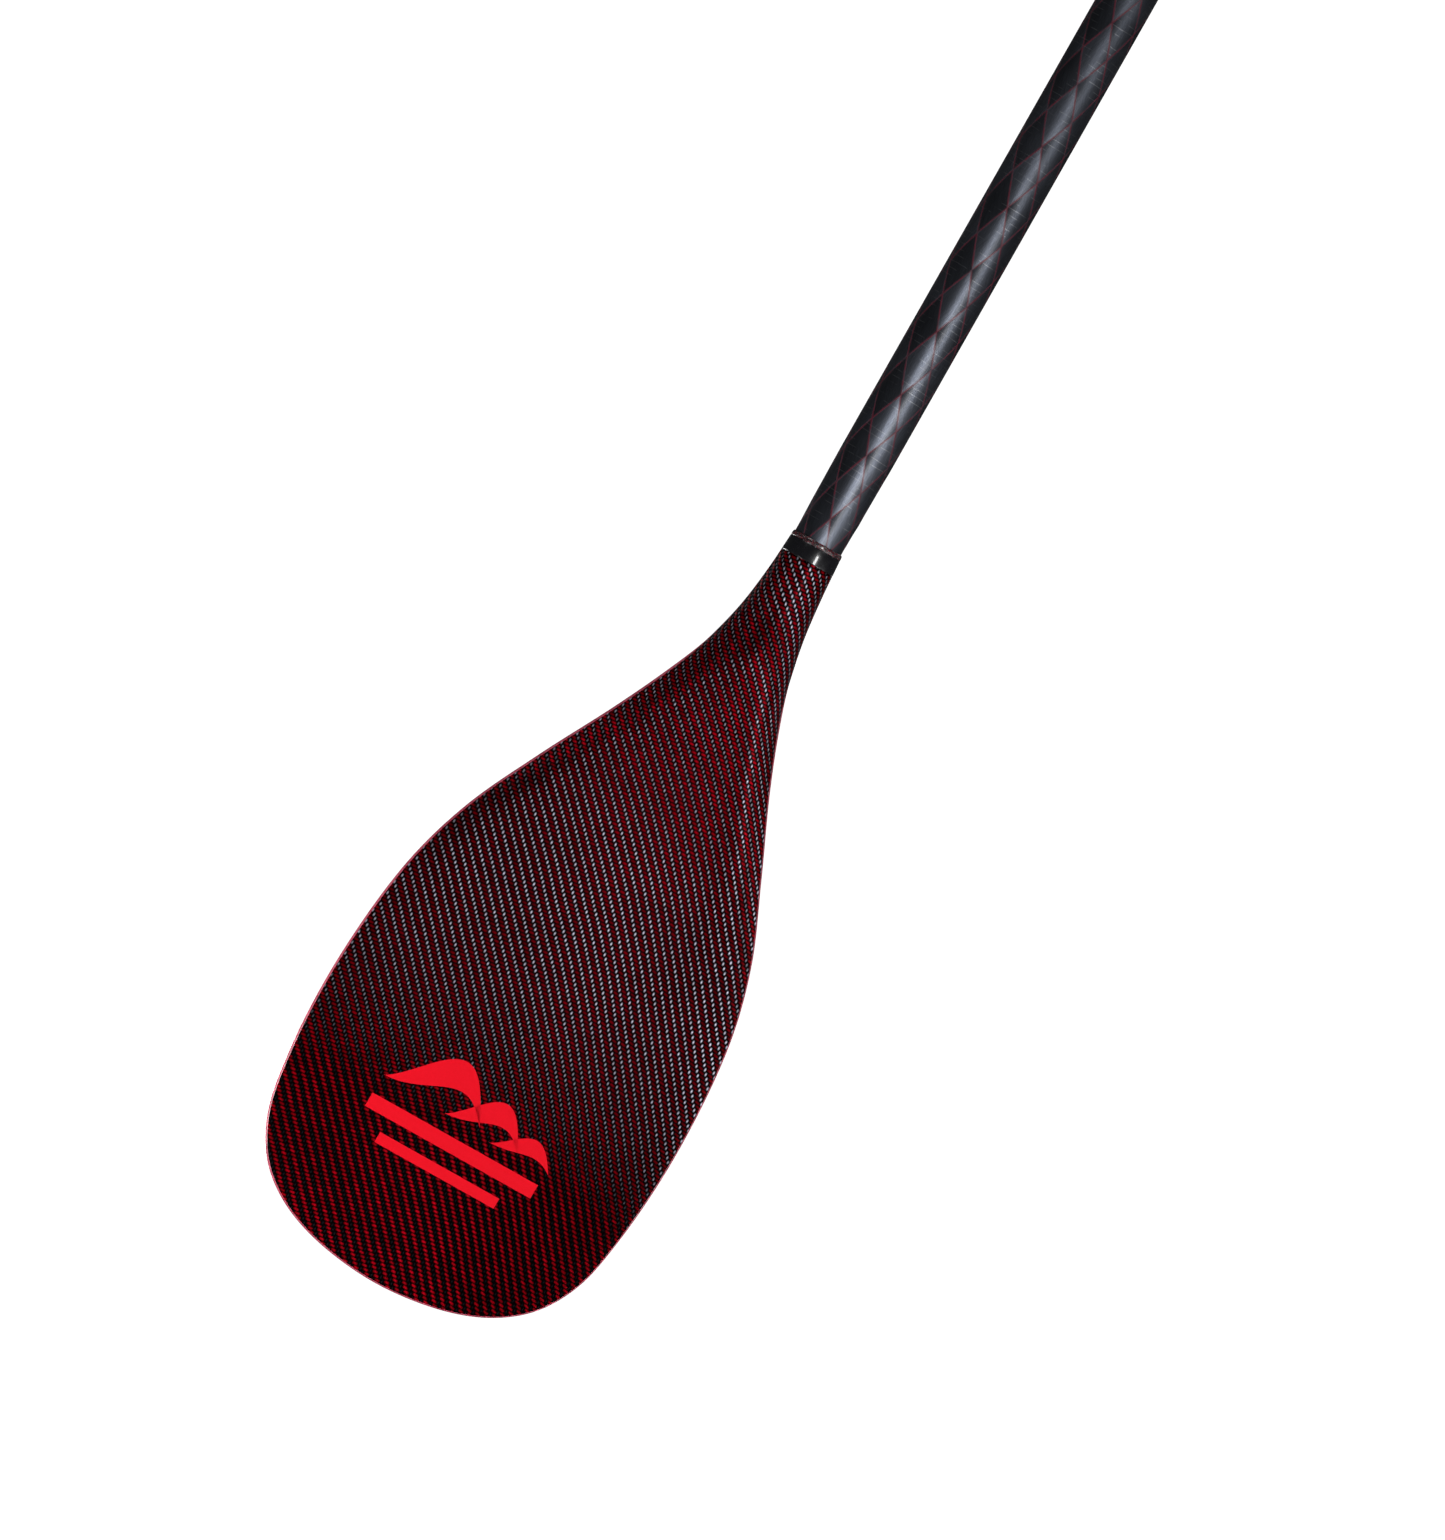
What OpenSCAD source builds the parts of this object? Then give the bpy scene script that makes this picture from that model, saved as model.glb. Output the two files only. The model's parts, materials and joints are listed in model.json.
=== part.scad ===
// Adjustable stand-up paddle: a raked, shouldered composite blade on a telescopic carbon shaft
// with a cam clamp and a palm grip. +Z runs up the shaft to the handle, the power face looks
// along -Y, and the origin is on the shaft's axis at the lower hand's hold.

/* [Blade] */
// Blade width over the edge rail
blade_w = 206.4; // [196:0.4:216]
// Blade length from the socket's mouth to the tip, measured along the shaft
blade_len = 447; // [430:1:465]
// How far the blade's edge at the tip lies behind the shaft's axis
tip_rake = 59.7; // [52:0.1:68]
// Thickness of each moulded skin
skin_t = 0.95; // [0.8:0.05:1.05]
// Thickness of the blade at its edge
edge_t = 3; // [2.6:0.1:3.4]
// Width of the edge rail, across the blade
rail_w = 3; // [2.6:0.1:3.6]

/* [Shaft] */
// Outer diameter of the lower shaft
shaft_d = 28.6; // [28.4:0.1:28.8]
// Outer diameter of the upper, sliding shaft
upper_d = 25.6; // [25.2:0.1:25.7]
// Height of the hold above the blade's socket
hold_h = 480; // [440:5:520]
// Length of the paddle when the shafts are pushed together
short_len = 1700; // [1660:5:1760]
// Length of lower shaft that shows between the socket and its top end
lower_len = 1001; // [990:1:1010]

/* [Clamp] */
// Height of the clamp collar
collar_h = 40; // [38:1:44]
// Outer radius of the clamp collar
collar_r = 18.2; // [17.8:0.1:18.6]
// Distance of the tension screw behind the shaft's axis
screw_y = 23.2; // [22.8:0.1:23.6]

/* [Handle] */
// Width of the palm grip
grip_w = 111; // [104:1:118]
// Height of the palm grip
grip_h = 78; // [74:1:82]

/* [Hidden] */
$fn = 64;
fit = 0.05;          // gap between bonded or sliding pieces
shaft_r = shaft_d / 2;
upper_r = upper_d / 2;
mouth_z = -hold_h;   // height of the socket's mouth
tip_z = mouth_z - blade_len;
top_z = tip_z + short_len;
lower_top = mouth_z + lower_len;

// Socket, measured downwards from its mouth
socket_depth = 46;
socket_r = 13.35;
socket_wall = 0.4;
band_depth = 11;     // where the black band ends and the woven skin begins
lip_depth = 2.4;
lip_r = 14.5;
band_r = 15.05;
shaft_end_r = socket_r - fit;
shaft_end_depth = socket_depth - 4;
bore_r = 13.15;      // bore of the lower shaft where the upper shaft slides
bore_foot = -60;     // height down to which it has that bore
foot_bore_r = 12.3;  // narrower bore at the blade's end
foot_bore_top = -140;
waist = 0.75;        // how much thinner the shaft's wall is at the socket
slot_w = 1.6;        // slot that lets the clamp squeeze the lower shaft
slot_depth = 30;
stopper_h = 36;

// Blade stations: [depth below the mouth, half width, edge, face crown, back crown],
// the last three as distances behind the shaft's axis
blade_shape = [
    [0, 14.3, 0, -14.4, 14.4],
    [24, 16, 0.3, -15.3, 15.7],
    [48, 19.1, 2.2, -15.2, 17.8],
    [72, 25, 6.2, -10.8, 21.4],
    [96, 34.1, 12.8, -1.6, 26.2],
    [125, 47, 20.6, 9.6, 31.8],
    [166, 67.4, 30.3, 23, 39],
    [208, 86.6, 36.6, 32, 43.8],
    [250, 98, 42, 38.7, 47.8],
    [313, 103.2, 48.6, 45.9, 53],
    [366, 100.3, 53.6, 51.2, 57],
    [397, 94, 56.2, 54, 59],
    [418, 82, 57.8, 55.8, 60.2],
    [432, 65, 58.8, 57, 60.9],
    [442, 40, 59.4, 57.7, 61.3],
    [447, 0, 59.7, 58, 61.5]
];
shape_len = blade_shape[len(blade_shape) - 1][0];
shape_w = 103.2;
shape_rake = 59.7;
segments = len(blade_shape) - 1;
first_spread = 2;    // station below which the width setting starts to act
full_spread = 5;     // station from which it acts fully

// The driving dimensions stretch the stations below the neck
function spread(i) = min(1, max(0, (i - first_spread) / (full_spread - first_spread)));
blade_rows = [for (i = [0:segments]) let (s = blade_shape[i], f = spread(i),
    wide = 1 + f * (blade_w / 2 / shape_w - 1), deep = tip_rake / shape_rake,
    back = s[2] * deep - s[2])
    [s[0] * blade_len / shape_len, s[1] * wide, s[2] + back, s[3] + back, s[4] + back]];
tip_mirror = let (s = blade_rows[segments - 1]) [s[0], -s[1], s[2], s[3], s[4]];
blade_knots = concat([2 * blade_rows[0] - blade_rows[1]], blade_rows, [tip_mirror]);

// Handle stations: [height above the stem's foot, half width, half thickness, squareness]
grip_shape = [
    [0, 14.2, 14.2, 2],
    [15, 13.9, 13.9, 2],
    [30, 16, 13.5, 2.1],
    [42, 24, 13.2, 2.3],
    [51, 38, 13, 2.5],
    [58, 50.5, 12.6, 2.6],
    [64, 55.5, 11.6, 2.6],
    [69, 55.2, 10.4, 2.6],
    [74, 52, 8, 2.6],
    [77, 47.5, 4.6, 2.6],
    [78, 43, 1, 2.6]
];
grip_shape_h = 78;
grip_shape_w = 111;
flare_start = 30;    // heights between which the width setting comes into effect
flare_end = 58;
grip_rows = [for (s = grip_shape)
    let (f = min(1, max(0, (s[0] - flare_start) / (flare_end - flare_start))))
    [s[0] * grip_h / grip_shape_h, s[1] * (1 + f * (grip_w / grip_shape_w - 1)), s[2], s[3]]];
grip_segments = len(grip_rows) - 1;
grip_knots = concat([2 * grip_rows[0] - grip_rows[1]], grip_rows,
    [2 * grip_rows[grip_segments] - grip_rows[grip_segments - 1]]);
grip_foot = top_z - grip_h;
grip_wall = 1.5;
spigot_r = 11.4;
spigot_top = 35;     // height of the spigot inside the handle
spigot_foot = 45;    // depth of it inside the upper tube
ferrule_r = 14.2;
ferrule_h = 7;

// Upper shaft
upper_foot = 2;      // height of its lower end when pushed in
upper_bore_r = 11.2;
groove_w = 3;        // groove that keeps the handle in line with the blade
groove_depth = 0.8;
groove_start = 30;   // above the tube's lower end
groove_end = 14;     // below its upper end
plug_r = 13;
plug_bore_r = 8.5;
plug_skirt = 14;     // length of the guide plug below the tube
plug_shank = 20;     // length of it inside the tube
seal_drop = 7;       // middle of the seal below the tube's lower end
seal_half = 1.4;     // half height of its groove
seal_groove_r = 11.2;
seal_r = 12.18;
seal_thick_r = 0.92;

// Clamp
collar_z = lower_top - 37;
collar_bore = shaft_r + fit;
collar_chamfer = 3;
cap_z = collar_z + collar_h;
cap_h = 6.5;
cap_r = 17.4;
cap_chamfer = 2.5;
clamp_mid = collar_z + 21;   // height of the tension screw
lug_in = 1.2;                // half of the collar's gap
lug_out = 9.5;
lug_r = 7.5;
lug_half_h = 11;
lug_foot = 10;               // how far behind the axis the lugs start
screw_r = 2.5;
screw_hole_r = 2.7;
pin_x = 17.9;
pin_r = 2;
pin_end = 0.6;               // length of the pin that shows at each end
eye_r = 4;
eye_h = 7.4;
washer_r = 7.3;
washer_t = 1.1;
nut_r = 6.2;
nut_t = 5.5;
play = 0.02;                 // between the washer and its neighbours
cam_r = 6.6;
lever_h = 22;
arc_in = 19.2;               // inner and outer radius of the lever's handle
arc_out = 23.2;
arc_start = -66;
arc_turn = 106;
pad_start = -50;
pad_turn = 70;
pad_h = 16;
pad_depth = 1;

// ---- Curves through stations -------------------------------------------------------------

function ramp(a, b, x) = let (t = min(1, max(0, (x - a) / (b - a)))) t * t * (3 - 2 * t);
function knot(a, b) = sqrt(norm([a[0] - b[0], a[1] - b[1]]));
function between(a, b, ta, tb, t) = (a * (tb - t) + b * (t - ta)) / (tb - ta);

// Point at share t of the stretch from p[1] to p[2] of a smooth curve through four stations
function smooth_point(p, t) =
    let (t1 = knot(p[0], p[1]), t2 = t1 + knot(p[1], p[2]), t3 = t2 + knot(p[2], p[3]),
        s = t1 + (t2 - t1) * t,
        a1 = between(p[0], p[1], 0, t1, s), a2 = between(p[1], p[2], t1, t2, s),
        a3 = between(p[2], p[3], t2, t3, s),
        b1 = between(a1, a2, 0, t2, s), b2 = between(a2, a3, t1, t3, s))
    between(b1, b2, t1, t2, s);
function along(knots, u) =
    let (last = len(knots) - 4, i = min(last, max(0, floor(u))))
    smooth_point([for (k = [0:3]) knots[i + k]], u - i);

// A closed solid through loops that all have the same, even number of points. Each end is
// closed by a strip of faces across the loop, so a loop may be a crescent.
module loft(loops) {
    rows = len(loops);
    n = len(loops[0]);
    last = (rows - 1) * n;
    faces = concat(
        [for (j = [0:n / 2 - 2]) [j, j + 1, n - 2 - j, n - 1 - j]],
        [for (i = [0:rows - 2], j = [0:n - 1]) let (k = (j + 1) % n)
            [i * n + j, (i + 1) * n + j, (i + 1) * n + k, i * n + k]],
        [for (j = [0:n / 2 - 2]) [last + j + 1, last + j, last + n - 1 - j, last + n - 2 - j]]);
    polyhedron([for (l = loops, p = l) p], faces, convexity = 6);
}

// ---- Blade sections ----------------------------------------------------------------------

// A station of the blade, moved inwards from the outline by a distance
function station(u, inset) =
    let (s = along(blade_knots, u), d = along(blade_knots, u + 0.01) - along(blade_knots, u - 0.01),
        l = norm([d[0], d[1]]))
    [s[0] + inset * d[1] / l, s[1] - inset * d[0] / l, s[2], s[3], s[4]];

neck_depths = [55, 115];     // where the round neck ends and where the flat blade starts
rail_depths = [62, 92];      // where the rail starts and where it has its full width
function neck(s) = 1 - ramp(neck_depths[0], neck_depths[1], s[0]);
function rail(s) = rail_w * ramp(rail_depths[0], rail_depths[1], s[0]);
function edge_half(s) = edge_t / 2 * (1 - neck(s));

// Share of the half width that is flat on the face, up to the shoulders' creases
crease_depth = 60;   // where the flat covers half the width
crease_length = 325; // length over which it would grow to one and a half times the width
widest_flat = 0.93;
shoulder_power = 1.4;
function crease(s) = min(widest_flat, 0.5 + (s[0] - crease_depth) / crease_length);

// Front of a section at share x of its half width: a circle in the neck, then a flat with
// shoulders that fall away to the edge. depth is how far inside the outer surface it lies.
function face_y(s, x, depth) =
    let (k = neck(s), c = crease(s), rise = s[2] - s[3] - edge_half(s) - depth * k,
        fall = pow(max(0, abs(x) - c) / (1 - c), shoulder_power))
    s[2] - edge_half(s) + depth * (1 - k)
        - rise * (k * sqrt(max(0, 1 - x * x)) + (1 - k) * (1 - fall));

// Back of a section: a circle in the neck, then a spine that fades into a shallow camber
spine_w = 17;
spine_share = 0.55;
function back_y(s, x, depth) =
    let (k = neck(s), rise = s[4] - s[2] - edge_half(s) - depth * k,
        spine = exp(-pow(x * s[1] / spine_w, 2)), camber = 1 - x * x,
        body = (spine_share * spine + 1 - spine_share) * camber)
    s[2] + edge_half(s) - depth * (1 - k)
        + rise * (k * sqrt(max(0, 1 - x * x)) + (1 - k) * body);

function inner_half(s, depth) = s[1] - depth * neck(s);

across = 14;     // facets across a skin
shares = [for (j = [0:across]) sin(180 * j / across - 90)];
skin_stations = [for (u = [0.47, 0.75, each [1:0.34:segments - 0.16]]) u];

module skin(front) {
    loft([for (u = skin_stations)
        let (s0 = station(u, 0), s = station(u, rail(s0)), w = inner_half(s, skin_t),
            outer = [for (x = shares)
                [x * s[1], front ? face_y(s, x, 0) : back_y(s, x, 0), mouth_z - s[0]]],
            inner = [for (j = [across:-1:0]) let (x = shares[j])
                [x * w, front ? face_y(s, x, skin_t) : back_y(s, x, skin_t), mouth_z - s[0]]])
        front ? concat(outer, inner) : [for (i = [2 * across + 1:-1:0]) concat(outer, inner)[i]]]);
}
module front_skin() { color([0.35, 0.02, 0.05]) skin(true); }
module back_skin() { color([0.35, 0.02, 0.05]) skin(false); }

// A filling between the skins: a loft through sections given by a function's list of shares
module between_skins(u_list, shares_at) {
    loft([for (u = u_list)
        let (s0 = station(u, 0), s = station(u, rail(s0)), w = inner_half(s, skin_t),
            xs = shares_at(w), last = len(xs) - 1, d = skin_t + core_gap)
        concat(
            [for (x = xs) [x * w, face_y(s, x, d), mouth_z - s[0]]],
            [for (j = [last:-1:0]) [xs[j] * w, back_y(s, xs[j], d), mouth_z - s[0]]])]);
}
web_half = 3;        // half thickness of the shear web
core_gap = 0.4;      // glue line between the core and each skin
core_top = 2.1;      // the core and the web start below this station
core_stations = [for (u = skin_stations) if (u > core_top) u];
module foam_core() {
    half = across / 2;
    from_web = function(w) concat([(web_half + fit) / w],
        [for (j = [half + 1:across - 1]) shares[j]], [1 - core_gap / w]);
    color([0.93, 0.9, 0.78]) for (side = [0, 1]) mirror([side, 0, 0])
        between_skins(core_stations, from_web);
}
module shear_web() {
    across_web = function(w) [-web_half / w, 0, web_half / w];
    color([0.1, 0.1, 0.11])
        between_skins([for (u = core_stations) if (u < segments - 1) u], across_web);
}

// The rail: a bead with a flat inner side and a round outer edge, swept round the outline
rail_first = 3;      // station where the rail starts
rail_stations = [for (u = [rail_first:0.25:segments - 0.01]) u];
function rail_ring(u, side) =
    let (s = station(u, 0), w = rail(s), h = edge_half(s), d = station(u, 1),
        out = [side * (s[1] - d[1]), 0, d[0] - s[0]],
        start = [side * (s[1] - w * (s[1] - d[1])), s[2], mouth_z - s[0] + w * (s[0] - d[0])],
        bevel = w - 0.8 * h)
    [for (p = [[fit, -h], [bevel, -h], [w, -0.4 * h], [w, 0.4 * h], [bevel, h], [fit, h]])
        start + p[0] * out + [0, p[1], 0]];
module edge_rail() {
    n = len(rail_stations);
    color([0.5, 0.05, 0.12])
        loft(concat(
            [for (i = [0:n - 1]) rail_ring(rail_stations[i], 1)],
            [rail_ring(segments, 1)],
            [for (i = [n - 1:-1:0]) rail_ring(rail_stations[i], -1)]));
}

// ---- Socket ------------------------------------------------------------------------------

module ring(r_in, r_out, z, h) {
    translate([0, 0, z]) difference() {
        cylinder(r = r_out, h = h);
        translate([0, 0, -1]) cylinder(r = r_in, h = h + 2);
    }
}
module socket_tube() {
    color([0.08, 0.08, 0.09]) difference() {
        translate([0, 0, mouth_z - socket_depth - 1])
            cylinder(r = socket_r + socket_wall, h = socket_depth + 1 - lip_depth);
        translate([0, 0, mouth_z - socket_depth]) cylinder(r = socket_r, h = socket_depth);
    }
}
module socket_lip() {
    lip_top = lip_depth + 0.4;
    color([0.3, 0.03, 0.06]) translate([0, 0, mouth_z - lip_depth]) rotate_extrude()
        polygon([[socket_r, 0], [lip_r, 0], [lip_r - 0.15, lip_depth], [lip_r - 0.45, lip_top],
            [socket_r, lip_top]]);
}
module neck_band() {
    band_in = socket_r + socket_wall + fit;
    band_foot = 0.1;
    band_top = band_depth - lip_depth - fit;
    color([0.02, 0.02, 0.025]) translate([0, 0, mouth_z - band_depth]) rotate_extrude()
        polygon([[band_in, band_foot], [band_r, band_foot], [band_r - 0.5, band_top],
            [band_in, band_top]]);
}

// ---- Shafts ------------------------------------------------------------------------------

module lower_shaft() {
    foot = mouth_z - shaft_end_depth;
    shoulder = 0.5;  // height of the step that sits on the socket's lip
    color([0.09, 0.1, 0.12]) difference() {
        rotate_extrude() polygon([
            [foot_bore_r, foot], [shaft_end_r, foot], [shaft_end_r, mouth_z + shoulder],
            [shaft_r - waist, mouth_z + shoulder], [shaft_r - waist + 0.05, mouth_z + 6],
            [shaft_r - waist + 0.4, mouth_z + 18], [shaft_r, mouth_z + 50],
            [shaft_r, lower_top], [bore_r, lower_top],
            [bore_r, bore_foot], [foot_bore_r, foot_bore_top]]);
        translate([-slot_w / 2, 8, lower_top - slot_depth]) cube([slot_w, 12, slot_depth + 10]);
    }
}
module shaft_stopper() {
    color([0.85, 0.85, 0.8]) translate([0, 0, mouth_z - shaft_end_depth + 2])
        cylinder(r = foot_bore_r - fit, h = stopper_h);
}
module upper_tube() {
    length = grip_foot - upper_foot;
    color([0.09, 0.1, 0.12]) difference() {
        ring(upper_bore_r, upper_r, upper_foot, length);
        translate([-groove_w / 2, upper_r - groove_depth, upper_foot + groove_start])
            cube([groove_w, 4, length - groove_start - groove_end]);
    }
}
module guide_plug() {
    foot = upper_foot - plug_skirt;
    seal_z = upper_foot - seal_drop;
    shank_r = upper_bore_r - fit;
    color([0.12, 0.12, 0.13]) rotate_extrude() polygon([
        [plug_bore_r, foot], [plug_r - 0.5, foot], [plug_r, foot + 1],
        [plug_r, seal_z - seal_half], [seal_groove_r, seal_z - seal_half],
        [seal_groove_r, seal_z + seal_half], [plug_r, seal_z + seal_half],
        [plug_r, upper_foot], [shank_r, upper_foot],
        [shank_r, upper_foot + plug_shank], [plug_bore_r, upper_foot + plug_shank]]);
}
module seal_ring() {
    color([0.03, 0.03, 0.03]) translate([0, 0, upper_foot - seal_drop]) rotate_extrude()
        translate([seal_r, 0]) circle(r = seal_thick_r);
}

// ---- Clamp -------------------------------------------------------------------------------

module on_screw() { translate([0, screw_y, clamp_mid]) rotate([0, 90, 0]) children(); }
module lug_blank() {
    on_screw() translate([0, 0, -lug_out]) cylinder(r = lug_r, h = 2 * lug_out);
    translate([-lug_out, lug_foot, clamp_mid - lug_half_h])
        cube([2 * lug_out, screw_y - lug_foot, 2 * lug_half_h]);
}
module clamp_collar() {
    color([0.07, 0.07, 0.075]) difference() {
        union() {
            translate([0, 0, collar_z + collar_chamfer])
                cylinder(r = collar_r, h = collar_h - collar_chamfer);
            translate([0, 0, collar_z])
                cylinder(r1 = collar_r - 1.8, r2 = collar_r, h = collar_chamfer);
            lug_blank();
        }
        translate([0, 0, collar_z - 1]) cylinder(r = collar_bore, h = collar_h + 2);
        translate([-lug_in, 8, collar_z + 6]) cube([2 * lug_in, 40, collar_h]);
        on_screw() translate([0, 0, -20]) cylinder(r = screw_hole_r, h = 40);
        // two shallow grip grooves round the body
        for (z = [collar_z + 5, collar_z + 36]) ring(collar_r - 0.7, collar_r + 4, z, 1.2);
    }
}
module clamp_cap() {
    color([0.07, 0.07, 0.075]) {
        difference() {
            union() {
                translate([0, 0, cap_z]) cylinder(r = cap_r, h = cap_h - cap_chamfer);
                translate([0, 0, cap_z + cap_h - cap_chamfer])
                    cylinder(r1 = cap_r, r2 = cap_r - 2.8, h = cap_chamfer);
            }
            translate([0, 0, cap_z - 1]) cylinder(r = upper_r + 0.15, h = cap_h + 2);
        }
        // the key that runs in the upper shaft's groove
        translate([-1.3, upper_r - groove_depth + 0.1, cap_z + 0.5]) cube([2.6, 1.6, cap_h - 3.5]);
    }
}
module cam_washer() {
    thick = washer_t - 2 * play;
    color([0.75, 0.76, 0.78]) difference() {
        union() {
            on_screw() translate([0, 0, lug_out + play]) cylinder(r = washer_r, h = thick);
            translate([lug_out + play, screw_y - 7, clamp_mid - 10.5]) cube([thick, 7, 21]);
        }
        on_screw() cylinder(r = screw_hole_r, h = 20);
    }
}
module tension_screw() {
    thread_end = lug_out + nut_t + 2;
    color([0.75, 0.76, 0.78]) difference() {
        union() {
            on_screw() translate([0, 0, -thread_end]) cylinder(r = screw_r, h = pin_x + thread_end);
            translate([pin_x, screw_y, clamp_mid - eye_h / 2]) cylinder(r = eye_r, h = eye_h);
        }
        translate([pin_x, screw_y, clamp_mid - 10]) cylinder(r = pin_r + fit, h = 20);
    }
}
module lever_pin() {
    color([0.75, 0.76, 0.78]) translate([pin_x, screw_y, clamp_mid - lever_h / 2 - pin_end])
        cylinder(r = pin_r, h = lever_h + 2 * pin_end);
}
module tension_nut() {
    flutes = 10;
    color([0.75, 0.76, 0.78]) on_screw() translate([0, 0, -lug_out - 0.1 - nut_t]) difference() {
        cylinder(r = nut_r, h = nut_t);
        translate([0, 0, -1]) cylinder(r = screw_r + fit, h = nut_t + 2);
        for (k = [0:flutes - 1]) rotate(k * 360 / flutes) translate([nut_r + 0.7, 0, -1])
            cylinder(r = 1.2, h = nut_t + 2, $fn = 24);
    }
}
module cam_lever() {
    color([0.55, 0.03, 0.06]) difference() {
        translate([0, 0, clamp_mid - lever_h / 2]) {
            // the cam, the web that joins it to the handle, the curved handle and its thick end
            translate([pin_x - 0.65, screw_y, 0]) cylinder(r = cam_r, h = lever_h);
            linear_extrude(lever_h) polygon([[14.72, 12.33], [11.9, 19.4], [17, 27.5],
                [23.7, 24.4], [22.4, 18], [17.78, 14.9]]);
            rotate(arc_start) rotate_extrude(angle = arc_turn) translate([arc_in, 0])
                square([arc_out - arc_in, lever_h]);
            rotate(arc_start) translate([(arc_in + arc_out) / 2 + 1.2, 0, 0])
                cylinder(r = 3, h = lever_h);
        }
        // the fork that takes the screw's eye, and the hole for the pin
        translate([pin_x, screw_y, clamp_mid - 3.9]) cylinder(r = 9.2, h = 7.8);
        translate([pin_x, screw_y, clamp_mid - 20]) cylinder(r = pin_r + fit, h = 40);
        // pocket for the pad
        rotate(pad_start) rotate_extrude(angle = pad_turn)
            translate([arc_out - pad_depth, clamp_mid - pad_h / 2]) square([3, pad_h]);
    }
}
module lever_pad() {
    end_gap = 0.2;   // degrees
    height = pad_h - 4 * fit;
    color([0.06, 0.06, 0.06]) rotate(pad_start + end_gap)
        rotate_extrude(angle = pad_turn - 2 * end_gap)
        translate([arc_out - pad_depth + fit, clamp_mid - height / 2])
        square([pad_depth + 0.45, height]);
}

// ---- Handle ------------------------------------------------------------------------------

grip_across = 12;
grip_shares = [for (j = [0:grip_across]) sin(180 * j / grip_across - 90)];
grip_last = grip_segments;
grip_stations = [for (u = [0, each [1:0.5:grip_last - 0.5], grip_last - 0.2, grip_last]) u];
function grip_y(s, x, depth) =
    (s[2] - depth) * pow(max(0, 1 - pow(abs(x), s[3])), 1 / s[3]);
module handle_shell(side) {
    loft([for (u = grip_stations)
        let (s = along(grip_knots, u), d = min(grip_wall, s[2] * 0.8), w = s[1] - d,
            z = grip_foot + s[0],
            outer = [for (x = grip_shares) [x * s[1], side * grip_y(s, x, 0), z]],
            inner = [for (j = [grip_across:-1:0]) let (x = grip_shares[j])
                [x * w, side * grip_y(s, x, d), z]])
        side < 0 ? concat(outer, inner)
            : [for (i = [2 * grip_across + 1:-1:0]) concat(outer, inner)[i]]]);
}
module handle_front_shell() { color([0.1, 0.1, 0.115]) handle_shell(-1); }
module handle_back_shell() { color([0.1, 0.1, 0.115]) handle_shell(1); }
module handle_core() {
    gap = grip_wall + 0.3;
    foot_u = 2.42;           // station just above the spigot's top
    n = 2 * grip_across;
    color([0.93, 0.9, 0.78]) loft([for (u = [foot_u, each [2.6:0.5:grip_segments - 0.9]])
        let (s = along(grip_knots, u), w = s[1] - gap)
        [for (j = [0:n - 1]) let (a = 360 * j / n, x = cos(a), f = sin(a) < 0 ? -1 : 1)
            [x * w, f * max(0.05, grip_y(s, x, gap)), grip_foot + s[0]]]]);
}
module handle_spigot() {
    color([0.14, 0.14, 0.15]) {
        translate([0, 0, grip_foot - spigot_foot])
            cylinder(r = upper_bore_r - fit, h = spigot_foot);
        translate([0, 0, grip_foot]) cylinder(r = spigot_r, h = spigot_top);
    }
}
module handle_ferrule() {
    bore = upper_r + fit;
    top = ferrule_h - fit;
    color([0.55, 0.03, 0.06]) translate([0, 0, grip_foot - ferrule_h]) rotate_extrude()
        polygon([[bore, 0], [ferrule_r - 0.7, 0], [ferrule_r, 1.2], [ferrule_r, top], [bore, top]]);
}

front_skin();
back_skin();
foam_core();
shear_web();
edge_rail();
socket_tube();
socket_lip();
neck_band();
lower_shaft();
shaft_stopper();
clamp_collar();
clamp_cap();
cam_washer();
tension_screw();
lever_pin();
tension_nut();
cam_lever();
lever_pad();
upper_tube();
guide_plug();
seal_ring();
handle_ferrule();
handle_spigot();
handle_core();
handle_front_shell();
handle_back_shell();
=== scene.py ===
import json
from math import cos, exp, pi, radians, sin, sqrt

import bpy
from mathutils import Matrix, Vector


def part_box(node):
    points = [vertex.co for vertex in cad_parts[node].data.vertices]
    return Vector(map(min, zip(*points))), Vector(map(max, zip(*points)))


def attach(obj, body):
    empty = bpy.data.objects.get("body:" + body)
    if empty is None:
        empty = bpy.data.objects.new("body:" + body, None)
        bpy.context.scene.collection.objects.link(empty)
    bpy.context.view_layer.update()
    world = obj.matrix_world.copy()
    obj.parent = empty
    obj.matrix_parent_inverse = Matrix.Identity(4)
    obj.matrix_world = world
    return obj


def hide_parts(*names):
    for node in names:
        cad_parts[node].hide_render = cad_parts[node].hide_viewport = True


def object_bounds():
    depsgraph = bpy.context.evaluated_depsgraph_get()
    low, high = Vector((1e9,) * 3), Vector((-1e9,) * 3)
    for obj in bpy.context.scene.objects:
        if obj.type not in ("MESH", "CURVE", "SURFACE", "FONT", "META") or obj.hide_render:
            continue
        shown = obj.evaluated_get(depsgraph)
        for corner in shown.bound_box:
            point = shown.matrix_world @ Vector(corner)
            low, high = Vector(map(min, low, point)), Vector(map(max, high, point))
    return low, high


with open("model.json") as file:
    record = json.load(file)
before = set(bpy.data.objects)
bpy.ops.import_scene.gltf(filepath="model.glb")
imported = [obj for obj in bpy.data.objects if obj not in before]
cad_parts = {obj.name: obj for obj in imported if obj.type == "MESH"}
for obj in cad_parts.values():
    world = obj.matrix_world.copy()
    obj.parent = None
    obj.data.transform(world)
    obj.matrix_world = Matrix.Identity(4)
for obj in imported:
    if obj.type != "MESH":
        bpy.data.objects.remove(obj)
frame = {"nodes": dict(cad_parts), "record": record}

# The looks of an adjustable stand-up paddle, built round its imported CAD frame. Lengths named
# here are in metres, apart from the tables that say they are in millimetres.

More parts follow.
